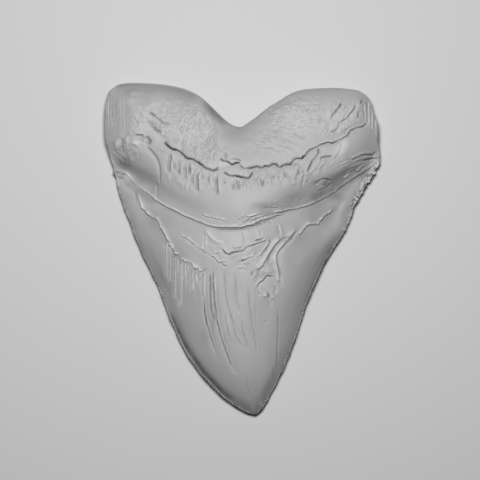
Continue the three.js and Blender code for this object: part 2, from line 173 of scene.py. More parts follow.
ROOT_CREASES = Strokes(width=0.5, height=-0.4, painted_shade=0.4, wobble=0.15, paths=[
    [(38.5, 40.6), (37.8, 38.8), (37.3, 37.4), (36.3, 35.6), (35.5, 33.6)],
    [(-31.8, 49.5), (-32.6, 47.2), (-33, 45.2)], down(-31.6, 54.4, 52.5),
    [(-40.9, 51), (-40.9, 49.5), (-39.9, 47.5), (-39.1, 47.2)], [(-32.7, 25.5), (-32.5, 18.9)],
    [(7.3, 42.2), (9.2, 41.8), (11.9, 40.4)], [(10, 42.9), (12.7, 42.6), (14.2, 41.4)],
    [(18.5, 44.5), (20.4, 43.1), (23.4, 42), (24.6, 41.8)], [(10, 44.9), (14.2, 44.7)],
    [(15.8, 50), (18.5, 49.1)], [(26.9, 57.9), (30, 57)], [(28.4, 55.4), (31.1, 54.6)],
    [(24, 52.3), (26.2, 52.6)], [(19.2, 54.8), (21.5, 55.2)], [(-18.8, 54.4), (-16.1, 54.6)],
    [(-11.1, 44.5), (-10.9, 41.4), (-10.3, 39.9)], [(-17.1, 48.7), (-18.5, 46.4), (-18.2, 44.5)],
    [(-14.6, 46.8), (-15.8, 44.1)], [(-13, 43.7), (-13.4, 41), (-12.3, 38.7)], [(-22.3, 48.3), (-23, 46)],
    down(-25.9, 42.8, 40.2), down(9.3, 37.6, 35.2), down(40.2, 37.1, 35.8),
])
SHOULDER_CREST = Strokes(width=3.4, height=0.45, run_out=4, beads=0, painted_highlight=0.55, wobble=0.25, paths=[
    [(41.1, 43.3), (39.4, 40.6), (37.8, 37.2), (36, 33.9)],
    [(46.4, 57.8), (42.6, 52.6), (38.6, 48), (34, 43.6)],
])
SHOULDER_FOLDS = Strokes(width=0.8, height=-0.6, lip=0.4, painted_shade=0.5, paths=[
    [(41.5, 33.4), (43.8, 34.4), (46.1, 35.6), (48.3, 36), (50, 35.8), (51.7, 37.4)],
    [(46.1, 33.4), (47.9, 34.2), (49.9, 34.5), (52.6, 34.4)],
])

# Broad slopes where the root meets the crown's shoulders, along the crown's edges and over the left lobe
HOLLOW_FOOT = Strokes(width=3.2, height=-0.5, run_out=7, beads=0, wobble=0, paths=[
    [(-48.5, 30), (-45.8, 28.9), (-41.9, 26.5), (-39.3, 24), (-35.8, 21.7), (-31.8, 18.6), (-27, 16)],
])
SHOULDER_RISE = Strokes(width=5, height=1.4, run_out=7, beads=0, wobble=0, paths=[
    [(22, 15.5), (26, 18.5), (32, 22), (37, 25), (41, 28), (46, 31), (51, 33.5)],
])
SHOULDER_FALL = Strokes(width=9, height=-1.5, run_out=12, beads=0, wobble=0, paths=[
    [(58, 36), (55.5, 29.5), (54, 25.8), (51.5, 20), (49, 16), (46.4, 8.3), (44.9, 4), (39.5, -3.4),
     (34, -13)],
])
RIMS = Strokes(width=2.4, height=0.6, run_out=10, beads=0, wobble=0, paths=[
    [(33.3, -1), (29.1, -9), (25.5, -16.8), (22.4, -24.3), (20.1, -31.7), (17.4, -39.6), (14.1, -47.8),
     (10.3, -55.5)],
    [(-21, -38), (-14.6, -48), (-7, -55.9), (0, -60.8)],
])
# The left lobe's top is also painted darker as shade
LOBE_TOP = Strokes(width=10, height=-2.2, run_out=6, beads=0, painted_shade=0.5, wobble=0, paths=[
    [(-52, 63), (-43, 65.5), (-36, 65.5), (-28, 64), (-20, 61), (-14, 56.5)],
])

# Soft dark lines of painted shade without relief, in the notch, along the edges and on the right shoulder
NOTCH_SHADE = Strokes(width=2.6, height=0, run_out=6, beads=0.2, painted_shade=0.66, wobble=0, paths=[
    [(-16.6, 58.4), (-13.4, 54.6), (-10.2, 51.2), (-7, 48.2), (-3.6, 46)],
])
EDGE_SHADE = Strokes(width=3.2, height=0, run_out=6, beads=0.2, painted_shade=0.55, wobble=0, paths=[
    [(-51, 36), (-49.4, 29), (-48, 22.6), (-46.8, 18.8), (-43.8, 11.1), (-41, 4), (-36, -8), (-32, -17),
     (-29, -25)],
    [(38, 3.5), (34.6, -0.8), (30.4, -8.5), (26.9, -16.2), (23.8, -24)],
    [(-49, 27.5), (-43, 24.6), (-38, 20.6), (-30, 15)],
])
RIM_SHADE = Strokes(width=2.2, height=0, run_out=9, beads=0.2, painted_shade=0.8, wobble=0, paths=[
    [(-29.6, -20), (-26.6, -27), (-23.8, -33), (-20.6, -38.7), (-14.6, -47.2), (-6.9, -55.1), (0.6, -60.4)],
])
HOLLOW_SHADE = Strokes(width=4.2, height=0, run_out=6, beads=0.2, painted_shade=0.68, wobble=0, paths=[
    [(22, 18.4), (28, 20), (34, 22), (40, 25.3), (46, 28.8), (54, 33.2)],
])

# The ledge, its shade, fainter ledges, of which the fifth is the left end of the neck's first wrinkle, and
# the nub at the ledge's left end
LEDGE_LINE = Strokes(
    width=0.65, height=-0.22, lip=0.32, step=0.2, run_out=2, painted_shade=0.36, painted_highlight=0.65, wobble=0.25, paths=[
        LEDGE, LEDGE_RIGHT,
    ],
)
LEDGE_SHADE = Strokes(width=1.5, height=0, run_out=4, painted_shade=0.5, paths=[
    [(-12, 8.2), (-8, 7.5), (-2, 7.3), (1.5, 7.8), (3.8, 8.4), (6.5, 9.6), (10, 10.6)],
])
FAINT_LEDGES = Strokes(width=0.5, height=-0.35, lip=0.3, beads=0.8, painted_shade=0.4, painted_highlight=0.5, wobble=0.25, paths=[
    [(-15.4, 12.6), (-11.6, 11.7), (-9.1, 11.1), (-5.7, 10.3)],
    [(0.8, 11.7), (3.8, 12.2), (5.8, 12.8), (7.6, 13.4)],
    [(3.3, 10.7), (5.4, 11.5), (7.6, 11.9), (9.6, 12.8)],
    [(8, 15.6), (13.5, 15.6)],
    [(-24.1, 6), (-22.6, 4.4), (-20.2, 3.3), (-17.8, 1.4)],
    [(38.5, 26.3), (40.2, 27.6), (42.3, 28.7), (44.9, 29.9), (46.9, 31)],
])
NUB = Strokes(width=0.5, height=-0.5, lip=0.5, run_out=0.6, beads=0.1, painted_shade=0.7, painted_highlight=0.7, paths=[
    [(-49.3, 29.4), (-46.8, 28.9), (-44.6, 28.6)],
    [(-49.1, 28.9), (-47.9, 27.8), (-46.4, 27.2), (-45, 27.8)],
])

# The ragged edge of the neck band, which stands above the crown, and the wrinkles and lines of the neck
BAND_EDGE = Strokes(
    width=0.8, height=-0.3, lip=0.5, step=0.2, beads=0.5, painted_shade=0.4, painted_highlight=0.8, wobble=0.25, paths=[
        [(-41.1, 21.3), (-39.9, 19), (-38.8, 15.5), (-36.8, 13.5), (-34.9, 11.9), (-32.6, 10.8),
         (-31, 7.6), (-29.2, 4.1), (-27.4, 1)],
        [(22.1, 4.8), (23, 6.3), (24, 7.7), (25.5, 8.9), (29.1, 8.9), (31, 11.5), (32.7, 12.9),
         (35.5, 14.8)],
    ],
)
BAND_FOOT = Strokes(
    width=0.7, height=-0.1, lip=0.5, run_out=0.8, beads=0.9, painted_shade=0.2, painted_highlight=0.8, wobble=0.5, paths=[
        [(-28.3, 2.4), (-27.2, 0.8), (-25.9, -1.7), (-24.2, -2.6)],
        [(-23.8, -4.3), (-20.8, -5.1), (-19.1, -6), (-17.3, -8.1)],
    ],
)
CRINKLES = Strokes(
    width=0.5, height=-0.4, lip=0.35, run_out=1, beads=0.9, painted_shade=0.6, painted_highlight=0.6, wobble=0.6, paths=[
        [(-19, 2.3), (-16.1, 0), (-11.6, -2.7), (-7.1, -6.2), (-5.5, -6.8)],
        [(-11.6, -2.3), (-8.4, -1.4)],
        [(-3.6, -0.4), (1.1, 1.3)],
        [(-1.4, -7.7), (0.5, -7.3), (2.1, -8.1)],
        [(-17.3, -8.1), (-15.7, -8.8), (-14.4, -8), (-13.2, -7.7)],
        [(-0.7, -4.9), (1.2, -3.9), (4.2, -3), (5, -2.2), (6, -1.4)],
        [(-10.5, -4.4), (-8.4, -5.2), (-5.5, -4.6)],
    ],
)
INNER_EDGES = Strokes(
    width=0.55, height=-0.55, lip=0.35, run_out=1, beads=0.4, painted_shade=0.8, painted_highlight=0.5, wobble=0.2, paths=[
        [(-8.1, 0), (-7.1, -0.4), (-6.2, -1.7), (-4.9, -2.2), (-3.9, -1.4), (0.5, -0.7), (2.1, 0.8),
         (5.7, 1.9), (8.2, 2.8), (9.5, 3.1)],
        [(4.6, 2.9), (8.6, 4)],
        [(7, -3), (7.6, -1.9), (8.6, -0.8), (9.6, 0.6), (10.5, 2.2), (10.6, 3.8)],
    ],
)
NECK_LINES = Strokes(width=0.5, height=-0.4, lip=0.3, painted_shade=0.45, painted_highlight=0.6, paths=[
    [(0.9, 1), (0.5, 4), (-0.1, 6.9)],
    [(7.3, 3.6), (6.9, 6), (6.3, 8)],
    [(13.3, 9.7), (14, 7.6), (14.5, 5.2), (14.6, 4.4)],
    down(-14.2, 6.1, -0.4),
    down(-3.6, 2.3, -0.4),
    down(4.2, 5.3, 3.4),
])
BEVEL = Strokes(width=1.2, height=0.55, run_out=2, beads=0.1, painted_highlight=0.65, wobble=0, paths=[
    [(-14.2, 8), (-11.6, 4.7), (-9.2, 2.8), (-6.5, 2.3)],
])

# Folds that run down from the right of the neck, and the healed pit at their end
FOLD_RIDGES = Strokes(width=1.15, height=0.9, beads=0.15, painted_highlight=0.6, paths=[
    [(14.4, 4.2), (12.2, 2.2), (11, 0.6), (10, -0.9), (9, -2.6), (8, -4.4), (7.3, -5.8), (6.3, -6.9),
     (4.8, -7.2)],
    [(16.6, 3.2), (15.4, 2), (14.4, 0.7), (13.2, -0.7), (12.4, -2.5), (12.3, -4.6), (12.9, -7),
     (13.6, -9.6), (13.9, -13)],
    [(20.3, 7.6), (19.2, 6.4), (18, 5.2), (17, 4.2)],
])
FOLD_GROOVES = Strokes(width=0.75, height=-0.6, beads=0.15, painted_shade=0.55, paths=[
    [(17.6, 4.4), (15.6, 3.5), (14, 2.4), (12.8, 1), (11.8, -0.8), (11, -2.2), (10.4, -3.8), (9.9, -5.6)],
    [(20.9, 7.1), (20, 5.2), (19.3, 3.8), (17.8, 2.8), (16.2, 1.3), (14.6, -0.3), (13.7, -2), (13.5, -3.8),
     (13.9, -6), (14.3, -8), (14.6, -10), (14.7, -12)],
])
PIT_LINES = Strokes(width=0.6, height=-0.65, lip=0.3, run_out=0.8, beads=0.2, painted_shade=0.75, painted_highlight=0.5, paths=[
    [(5.8, -15), (6.2, -13.5), (7, -12.7), (8.2, -12), (9, -10.9), (9.8, -10.2), (11.7, -10.6),
     (11.9, -11.2)],
    [(9.8, -16.4), (10.5, -17.8), (10.6, -19.2)],
    [(4.4, -8.4), (3.7, -10.5)],
])
PIT_RIM = Strokes(width=0.65, height=-0.4, lip=0.2, beads=0.4, painted_shade=0.5, painted_highlight=0.4, wobble=0.2, paths=[
    [(9.8, -7), (8, -7.1), (6.9, -7.5), (6.4, -9), (6.2, -11.8)],
    [(12.6, -13), (12.9, -15.6), (12.4, -17.4)],
    [(6, -15.4), (6.6, -16.9), (7.4, -17.8)],
])

# Upright lines: furrows on the bulge, flutes and long lines down the crown, and lines and a hollow on the
# lobes' ends
DEEP_FURROWS = Strokes(width=1, height=-1, lip=0.35, run_out=1.8, painted_shade=0.65, painted_highlight=0.3, paths=[
    [(-27.2, 36.5), (-27.2, 34.2), (-27.7, 32.6), (-27.8, 28.4)], down(-21.6, 31.9, 25.8),
    [(-16.5, 29.8), (-17.2, 27.1), (-16.9, 21.5)], [(-9.9, 28.6), (-9.7, 23.7), (-9.2, 20.2)],
    down(-3.1, 26.4, 21.8), down(-1.4, 27.3, 22), down(7.8, 27.6, 23.2), down(12, 29.4, 26.2),
    down(16.8, 30.2, 26.6),
])
FURROWS = Strokes(
    width=0.8, height=-0.8, lip=0.4, run_out=2.2, beads=0.4, painted_shade=0.7, painted_highlight=0.45, wobble=0.12, paths=[
        down(-25.4, 33.4, 29), down(-23.8, 33.8, 27.4), down(-19.9, 32.8, 27),
        down(-18.8, 29.4, 23.6), down(-14.6, 29.2, 25.8), down(-12.7, 28.9, 24.4),
        down(0.1, 26.2, 23), down(5.4, 28.3, 24.9), down(9.9, 26.6, 24), down(14, 29.2, 26.2),
        down(17.9, 29.6, 26.6), [(22.6, 30.9), (21.6, 29.6), (21.4, 26.7)], [(-8, 26.2), (-5.6, 24.5)],
        [(-11.5, 23.7), (-9.8, 21.4)],
    ],
)
FLUTES = Strokes(
    width=0.5, height=-0.42, lip=0.42, run_out=2, beads=0.1, painted_shade=0.6, painted_highlight=0.68, wobble=0.05, paths=[
        down(-29.2, 3, -12), down(-27.8, 2.6, -14), down(-25.9, -2.3, -19.6),
        down(-25, -2.5, -10), down(-23.6, -4.6, -22.7), down(-22.1, -5, -11.9),
        down(-20.9, -5.2, -9.5), down(-19.2, -7.8, -17), down(-18, -8.5, -14),
        down(-16.5, -8.5, -12), down(-14.8, -8.9, -19.6), down(-11.8, -8.9, -22),
        down(-10.8, -10, -17),
    ],
)
LONG_LINES = Strokes(
    width=0.46, height=-0.5, lip=0.15, run_out=2.5, painted_shade=0.78, painted_highlight=0.4, wobble=0.06, paths=[
        [(-14.4, -19.2), (-14.2, -23.9), (-13.3, -28.6), (-12, -33.3), (-10, -39.6)],
        [(-12.2, -8.6), (-12.2, -18.9), (-11.6, -24.1), (-10.6, -28)],
        [(-11, -7.6), (-10.7, -14.7), (-10.3, -20.7), (-9.7, -25.4), (-9.1, -28.8), (-8, -33.5),
         (-6.5, -37.7), (-4.8, -42.4), (-3.4, -45.8)],
    ],
)
FINE_LINES = Strokes(
    width=0.5, height=-0.35, lip=0.1, run_out=3, painted_shade=0.4, painted_highlight=0.15, wobble=0.12, paths=[
        [(-14.8, -8.5), (-15, -14.7), (-14.4, -20.5)],
        [(-6.9, -8.2), (-6.7, -13.4), (-6.3, -17.7), (-5.4, -21.5), (-4.3, -25.4), (-3.1, -30),
         (-2.2, -32.6), (-0.4, -37)],
        [(-6.7, -23.5), (-6.1, -28.4), (-5.2, -31.8), (-4.1, -36.4)],
        [(-2.6, -8.6), (-2.2, -14.7), (-1.8, -20.3), (-0.8, -25)],
        [(-0.3, -26.5), (0.3, -30.5), (1.4, -34.3), (2.7, -39.4)],
        [(2.5, -15.2), (2.9, -20.7), (3.8, -25.4), (4.2, -30), (5.3, -35.2), (5.9, -39.6)],
        [(1.3, -47.2), (2, -52.9), (3.3, -57.9)],
        down(10.4, -18.8, -23), down(11.2, -18.8, -22.8), down(12.2, -44, -50),
        [(-3.4, -47), (-0.9, -47)],
    ],
)
END_LINES = Strokes(width=0.4, height=-0.22, lip=0.15, run_out=1.8, painted_shade=0.4, painted_highlight=0.4, wobble=0.15, paths=[
    down(-51.5, 59, 51.3), down(-50.8, 54, 46.4), down(-49.8, 57, 54), down(-49.3, 50, 46.5),
    down(-48.9, 49.5, 47.5), down(-48.1, 57.1, 55), down(-47, 55.6, 53),
    down(-46.2, 58.7, 50.2), down(46.6, 56, 51.5), down(48.2, 57, 47.5), down(49.6, 53.1, 44.9),
    down(51, 50, 45.4),
])
EDGE_LINE = Strokes(width=0.45, height=-0.2, run_out=4, painted_shade=0.6, wobble=0.06, paths=[
    [(13.8, -21.8), (13.8, -31.8), (13.5, -38), (13.5, -43.9), (12.8, -47.4), (11.6, -52)],
])
END_HOLLOW = Strokes(width=2.4, height=-0.35, run_out=5, beads=0, wobble=0, paths=[
    [(-44.8, 57), (-44.2, 51), (-44.6, 44), (-45.5, 38)],
])
STROKES = (
    LONG_CRACK, CRACK_END, SIDE_CRACKS, LOBE_CRACKS, POCKET, POCKET_HOLLOW, ROOT_CREASES, SHOULDER_CREST,
    SHOULDER_FOLDS, HOLLOW_FOOT, SHOULDER_RISE, SHOULDER_FALL, RIMS, LOBE_TOP, NOTCH_SHADE, EDGE_SHADE,
    RIM_SHADE, HOLLOW_SHADE, LEDGE_LINE, LEDGE_SHADE, FAINT_LEDGES, NUB, BAND_EDGE, BAND_FOOT, CRINKLES,
    INNER_EDGES, NECK_LINES, BEVEL, FOLD_RIDGES, FOLD_GROOVES, PIT_LINES, PIT_RIM, DEEP_FURROWS, FURROWS,
    FLUTES, LONG_LINES, FINE_LINES, END_LINES, EDGE_LINE, END_HOLLOW,
)

# The outer face: the line where the enamel ends, cracks that run down from it, and creases on the root
OUTER_LINE = Strokes(width=0.8, height=-0.35, step=-0.2, run_out=3, painted_shade=0.6, wobble=0.25, paths=[
    [(-47, 27), (-38, 29), (-25, 32), (-12, 34.4), (0, 35), (12, 34.6), (25, 32.4), (38, 30.4), (50, 30)],
])
OUTER_CRACKS = Strokes(width=0.4, height=-0.3, run_out=3, beads=0.4, painted_shade=0.6, wobble=0.2, paths=[
    [(-30, 30), (-28.4, 16), (-25.6, 3), (-22, -10)], [(-20, 33), (-18.6, 20), (-16.5, 5), (-15, -6)],
    [(-9, 34.6), (-8, 18), (-6.4, 0), (-4.4, -20), (-1.6, -38)],
    [(-1, 34), (-0.4, 12), (1, -12), (2.8, -30)], [(6, 34.8), (7, 20), (7.4, 4)],
    [(14, 34), (13.4, 14), (12.6, -8), (11.4, -26), (9.6, -44)],
    [(24, 32), (22.6, 16), (20.4, 0), (18.6, -12)], [(35, 30), (32.4, 18), (29.4, 7)],
])
OUTER_CREASES = Strokes(width=0.5, height=-0.35, run_out=2, beads=0.6, painted_shade=0.5, wobble=0.3, paths=[
    [(-44, 54), (-41, 47), (-39, 40)], [(-35, 57), (-32, 49), (-29, 42)], [(-26, 56), (-23, 47), (-20, 41)],
    [(-16, 50), (-12, 43), (-9, 38.5)], [(41, 55), (39, 47), (37, 39)], [(32, 56), (29, 48), (27, 41)],
    [(22, 54), (19, 46), (17, 40)], [(13, 47), (9, 41), (6, 38)],
])
OUTER_STROKES = (OUTER_LINE, OUTER_CRACKS, OUTER_CREASES)

GRAINS = [Grain(*row) for row in (
    ((-17, 43.5), (11, 12), 0.75, 1.5, 2, 25), ((-26, 50), (12, 10), 0.52, 1.5, 1.3, 40),
    ((-13, 37), (9, 5.5), 0.75, 1.3, 2.5, 8), ((-38, 48), (7, 12), 0.22, 1.6),
    ((20, 51), (16, 9), 0.55, 1.2, 2.2, 100), ((12, 41), (12, 7), 0.45, 1.4, 2.5, 118),
    ((36, 49), (12, 10), 0.32, 1.5, 2, 30), ((-48, 52), (6, 13), 0.16, 0.7, 9),
    ((49.5, 51), (5, 12), 0.2, 0.8, 9), ((-19, 28), (13, 8), 0.4, 1.8, 2.2),
    ((4, 26.5), (12, 6), 0.4, 1.6, 2), ((20, 28), (10, 6), 0.6, 1.8, 1.8, 10),
    ((31, 24), (5, 4), 0.35, 0.8, 1.5, 60), ((17.5, 18.5), (8, 2.6), 0.12, 0.8, 1.5, 70),
    ((28, 33), (9, 6), 0.4, 1.6, 2.5, 30), ((-44, 37), (7, 7), 0.3, 1.1, 1.5),
    ((44, 32), (9, 5), 0.4, 1, 5, 62), ((4, 10.5), (9, 3), 0.5, 0.8, 1.5, 70),
    ((-21, -12), (10, 8), 0.1, 1.1, 12), ((-4, -24), (14, 22), 0.16, 1.3, 16),
    ((-2, -1), (16, 6), 0.18, 1.3, 1.2), ((0, 45), (60, 22), 0.2, 5),
)]

# Several swells of height 0 are only pale patches of painted light
SWELLS = [Swell(*row) for row in (
    ((-2, -8), (26, 18), 0.8, 0.2), ((-35, 46), (11, 11), 0, 0.25), ((-18, 45), (11, 9), 0, 0.28),
    ((-5, 29.5), (12, 10), 0, 0.3), ((22, 49), (13, 9), 0, 0.28), ((-3, -20), (9, 14), 0, 0.25),
    ((-41.2, 59.3), (3.4, 1.9), 0.8), ((-38.5, 56.4), (6, 2.4), -0.7),
    ((-40.4, 40.4), (2.8, 1.6), 0.8, 0.8), ((-43.8, 41.2), (1, 2.4), 0.6, 0.7),
    ((-47.6, 39.8), (1.8, 2.6), 0.7, 0.4), ((-48.9, 29.4), (2.2, 1.5), 0.6, 0.3),
    ((-48.4, 26.9), (1.6, 1.5), -0.6), ((37.6, 9), (4, 6), 0, 0.3), ((34.5, 49.5), (9, 9), 0, 0.28),
    ((30.3, 24), (1.9, 1.1), 0.4, 0.3), ((9.8, -8.7), (2.2, 0.9), 0.35, 0.4), ((9.6, -13), (2.8, 3.4), 0.4),
    ((1.5, -5), (1.6, 1), 0.35, 0.3), ((8.8, -17.6), (1, 0.8), 0.5, 0.8),
    ((11.6, -18.3), (0.9, 0.8), 0.5, 0.9), ((12.9, -13.6), (0.6, 0.8), 0.3, 0.6),
    ((7.3, -14.7), (0.5, 0.7), 0.3, 0.5), ((4.9, -10.1), (0.5, 0.6), 0.3, 0.5),
    ((7.2, -59.8), (0.9, 2.6), 0.4, 0.6), ((4, -65), (8, 10), -0.8),
)]

# Ovals of painted shade over hollows, rims and slopes that fall away from the light
SHADE_PATCHES = [ShadePatch(*row) for row in (
    ((-46, 31.8), (5, 4), 0.64), ((-41, 25.2), (6, 3.4), 0.52), ((9, 16.4), (8, 2.2), 0.6),
    ((20, 15.2), (6, 2.2), 0.35), ((-29.5, -4), (2.4, 9), 0.45), ((-11, -26), (1.6, 9), 0.45),
    ((18, -4), (6, 8), 0.38), ((-38, 57.7), (7, 2.4), 0.45), ((-35, 60.5), (6, 2.6), 0.45),
    ((5.4, -60.8), (1, 1.6), 0.6), ((-32, 11), (9, 8), 0.43), ((-44, 10), (6, 10), 0.35),
    ((39, 25), (12, 8), 0.5), ((29.5, 13.5), (12, 9), 0.52), ((24, 3), (13, 14), 0.4),
    ((36, 24), (10, 5), 0.6), ((36, 20.2), (7, 4), 0.66), ((45.3, 25.8), (4.6, 2.6), 0.5),
    ((24, 26), (8, 4), 0.36), ((-3, 43), (9, 5), 0.35), ((-46, 52), (6, 14), 0.3),
    ((46, 55.4), (4, 5), 0.4), ((9, 13.2), (6, 1.6), 0.42), ((20, 21), (10, 6), 0.35),
    ((-27, -5), (8, 13), 0.47), ((4, -55), (14, 12), 0.35), ((46, 28.8), (7, 3.8), 0.74),
    ((-13.8, -33), (2.4, 8), 0.35), ((-46, 27.6), (2.6, 1.6), 0.5), ((-10.5, -25.6), (0.9, 3), 0.7),
    ((-39, 20.6), (8, 4), 0.42), ((-31.5, 2), (7, 8), 0.35), ((10.8, -5.6), (2.2, 2.4), 0.45),
)]

OUTER_GRAINS = [Grain(*row) for row in (
    ((-30, 46), (24, 16), 0.35, 1.6, 2.5, -15), ((30, 46), (24, 16), 0.35, 1.6, 2.5, 15),
    ((0, 2), (44, 32), 0.12, 1.4, 8),
)]

# Small pits, and nodules painted pale as a highlight
PIT_SIZE = 0.8
PIT_DEPTH = 0.35 * PIT_SIZE
PITS = [
    (-45.6, 36.6), (-45.5, 34.5), (-41.9, 34.9), (-30.9, 36.6), (-29.6, 36.6), (-29.8, 38.6), (-16.7, 42.3),
    (-20, 45.2), (-21.5, 41.6), (-14, 40.1), (23.1, 39.1), (28.5, 42), (33, 44.6), (9.2, -27.7),
]
NODULE_SIZE = 0.9
NODULE_HEIGHT = 0.45 * NODULE_SIZE
NODULE_HIGHLIGHT = 0.95
NODULES = [
    (50, 29.4), (48.1, 26.8), (46.8, 25.2), (45.4, 22.9), (45, 21.4), (44, 19.3), (39.4, 7.6),
]


def smooth_step(low, high, values):
    """Rises smoothly from 0 at low to 1 at high."""
    share = np.clip((values - low) / (high - low), 0, 1)
    return share * share * (3 - 2 * share)


def hump(values):
    """1 in the middle and 0 from the distance 1 on."""
    return np.clip(1 - values * values, 0, 1) ** 2


def wander(points, size, layer):
    """Soft noise of about -1 to 1, with lumps of the given size. Each layer is a noise of its own."""
    return np.array([noise.noise((x / size, y / size, layer)) for x, y in points.tolist()])


# The rough noise: how fast its finer parts weaken, how much finer each is, how many there are, and the depth
# and width of the grooves that are cut where it changes its sign
CRUST_FADE = 0.7
CRUST_FINER = 2.1
CRUST_PARTS = 3
CRUST_GROOVE = 0.2
CRUST_GROOVE_WIDTH = 0.15


def crust(points, size, stretch, lean, layer):
    """Rough noise of about -1 to 1, with long lumps that lean over to the right."""
    cos, sin = math.cos(math.radians(lean)), math.sin(math.radians(lean))
    across = (points[:, 0] * cos - points[:, 1] * sin) / size
    lengthwise = (points[:, 0] * sin + points[:, 1] * cos) / (size * stretch)
    spots = zip(across.tolist(), lengthwise.tolist())
    values = np.array([noise.fractal((x, y, layer), CRUST_FADE, CRUST_FINER, CRUST_PARTS) for x, y in spots])
    return values - CRUST_GROOVE * np.exp(-((values / CRUST_GROOVE_WIDTH) ** 2))


def measure(points, path):
    """For each point its distance to the path, above zero on the left, and its distance along the path,
    with the path's length."""
    path = np.array(path, float)
    starts = path[:-1]
    steps = np.diff(path, axis=0)
    lengths = np.linalg.norm(steps, axis=1)
    offsets = points[:, None] - starts
    shares = np.clip((offsets * steps).sum(2) / lengths**2, 0, 1)
    away = offsets - shares[..., None] * steps
    distances = np.linalg.norm(away, axis=2)
    nearest = distances.argmin(1)
    row = np.arange(len(points))
    side = np.sign(steps[nearest, 0] * away[row, nearest, 1] - steps[nearest, 1] * away[row, nearest, 0])
    along = (np.cumsum(lengths) - lengths)[nearest] + shares[row, nearest] * lengths[nearest]
    return distances[row, nearest] * np.where(side == 0, 1, side), along, lengths.sum()


def read(items, name, width=3, kind=float):
    """One property of a mesh's vertices, edges, corners or faces, a row each."""
    values = np.empty(len(items) * width, kind)
    items.foreach_get(name, values)
    return values.reshape(-1, width)


# Half width from which on a form is broad, and how upright the surface is where it gets its full height
BROAD = 2
RIM_UPRIGHT = 0.5


class Surface:
    """A mesh as arrays in millimetres, with the lift of each vertex along its normal, its rise straight up,
    its painted shade and its painted highlight."""

    def __init__(self, mesh):
        self.mesh = mesh
        self.places = read(mesh.vertices, "co") / MM
        self.normals = read(mesh.vertices, "normal")
        self.plan = self.places[:, :2]
        self.lift, self.rise, self.painted_shade, self.painted_highlight = np.zeros((4, len(self.places)))

    def add(self, vertices, height, width):
        """Raises vertices: broad forms straight up, fading out at the rim, narrow ones along the normal."""
        if width < BROAD:
            self.lift[vertices] += height
        else:
            self.rise[vertices] += height * smooth_step(0, RIM_UPRIGHT, self.normals[vertices, 2])

    def color(self, vertices, painted_shade, painted_highlight):
        """Adds painted shade and painted highlight. The strongest that is asked for at a vertex stays."""
        self.painted_shade[vertices] = np.maximum(self.painted_shade[vertices], painted_shade)
        self.painted_highlight[vertices] = np.maximum(self.painted_highlight[vertices], painted_highlight)

    def write(self):
        """Moves the mesh's vertices, none of them below the floor."""
        moved = self.places + self.normals * self.lift[:, None]
        moved[:, 2] += self.rise
        moved[:, 2] = np.maximum(moved[:, 2], 0)
        self.mesh.vertices.foreach_set("co", (moved * MM).ravel())
        self.mesh.update()


# Lumps of the noise that bends lines, and of the quick and the slow one that vary their height
BEND_SIZE = 1.6
QUICK_SIZE = 1.1
SLOW_SIZE = 3


class Face:
    """The inner face of a surface, on side 1, or the outer one, on side -1. Its vertices are sorted from the
    tip to the root, and it has soft noise to bend and vary what is drawn on it."""

    def __init__(self, surface, side):
        self.surface = surface
        rows = np.flatnonzero(side * surface.normals[:, 2] > 0)
        self.vertices = rows[np.argsort(surface.plan[rows, 1])]
        self.plan = surface.plan[self.vertices]
        self.bend = np.stack([wander(self.plan, BEND_SIZE, 0), wander(self.plan, BEND_SIZE, 5)], 1)
        self.quick_noise = wander(self.plan, QUICK_SIZE, 10)
        self.slow_noise = wander(self.plan, SLOW_SIZE, 15)

    def near(self, path, reach):
        """Rows in the path's box, widened by the reach."""
        low, high = np.min(path, 0) - reach, np.max(path, 0) + reach
        first, last = np.searchsorted(self.plan[:, 1], (low[1], high[1]))
        x = self.plan[first:last, 0]
        return first + np.flatnonzero((x > low[0]) & (x < high[0]))

    def oval(self, centre, reach):
        """The vertices in an oval, and their distance from its centre, 1 on its rim."""
        rows = self.near([centre], np.array(reach))
        away = np.linalg.norm((self.plan[rows] - centre) / reach, axis=1)
        return self.vertices[rows[away < 1]], away[away < 1]


# In half widths away from a line: from where to where its lip is full, where it ends, how far out the line
# is drawn, and where its step, if it has one, has faded out
LIP_FROM = 0.9
LIP_TO = 1
LIP_END = 2.1
LINE_REACH = 2.4
STEP_REACH = 6


def draw_strokes(face, strokes):
    """Draws the relief of lines of one kind on a face, and their painted shade and painted highlights."""
    reach = strokes.width * (STEP_REACH if strokes.step else LINE_REACH)
    for path in strokes.paths:
        rows = face.near(path, reach)
        bent = face.plan[rows] + strokes.wobble * face.bend[rows]
        away, along, length = measure(bent, path)
        close = np.abs(away) < reach
        rows, away, along = rows[close], away[close], along[close]
        ends = smooth_step(0, strokes.run_out, np.minimum(along, length - along))
        ends = ends * (1 + strokes.beads * face.slow_noise[rows])
        away = away / strokes.width
        groove = hump(away)
        crest = smooth_step(0, LIP_FROM, away) * smooth_step(LIP_END, LIP_TO, away)
        crest = crest * (1 + 2 * strokes.beads * face.quick_noise[rows])
        step = strokes.step * np.clip(away, -1, 1) * hump(away / STEP_REACH)
        lift = strokes.height * groove + strokes.lip * crest + step
        # The lip, or without one the groove, is painted pale as a highlight, and the groove dark as shade
        highlight_share = crest if strokes.lip else groove
        face.surface.add(face.vertices[rows], lift * ends, strokes.width)
        face.surface.color(face.vertices[rows], strokes.painted_shade * groove * ends, strokes.painted_highlight * highlight_share * ends)


def lay_grain(face, grain, layer):
    surface = face.surface
    vertices, away = face.oval(grain.centre, grain.reach)
    relief = crust(surface.plan[vertices], grain.size, grain.stretch, grain.lean, layer)
    surface.lift[vertices] += grain.height * smooth_step(1, 0.5, away) * relief


def swell(face, swelling):
    vertices, away = face.oval(swelling.centre, swelling.reach)
    face.surface.add(vertices, swelling.height * hump(away), min(swelling.reach))
    # Its pale patch is painted light
    face.surface.color(vertices, 0, swelling.painted_highlight * hump(away))


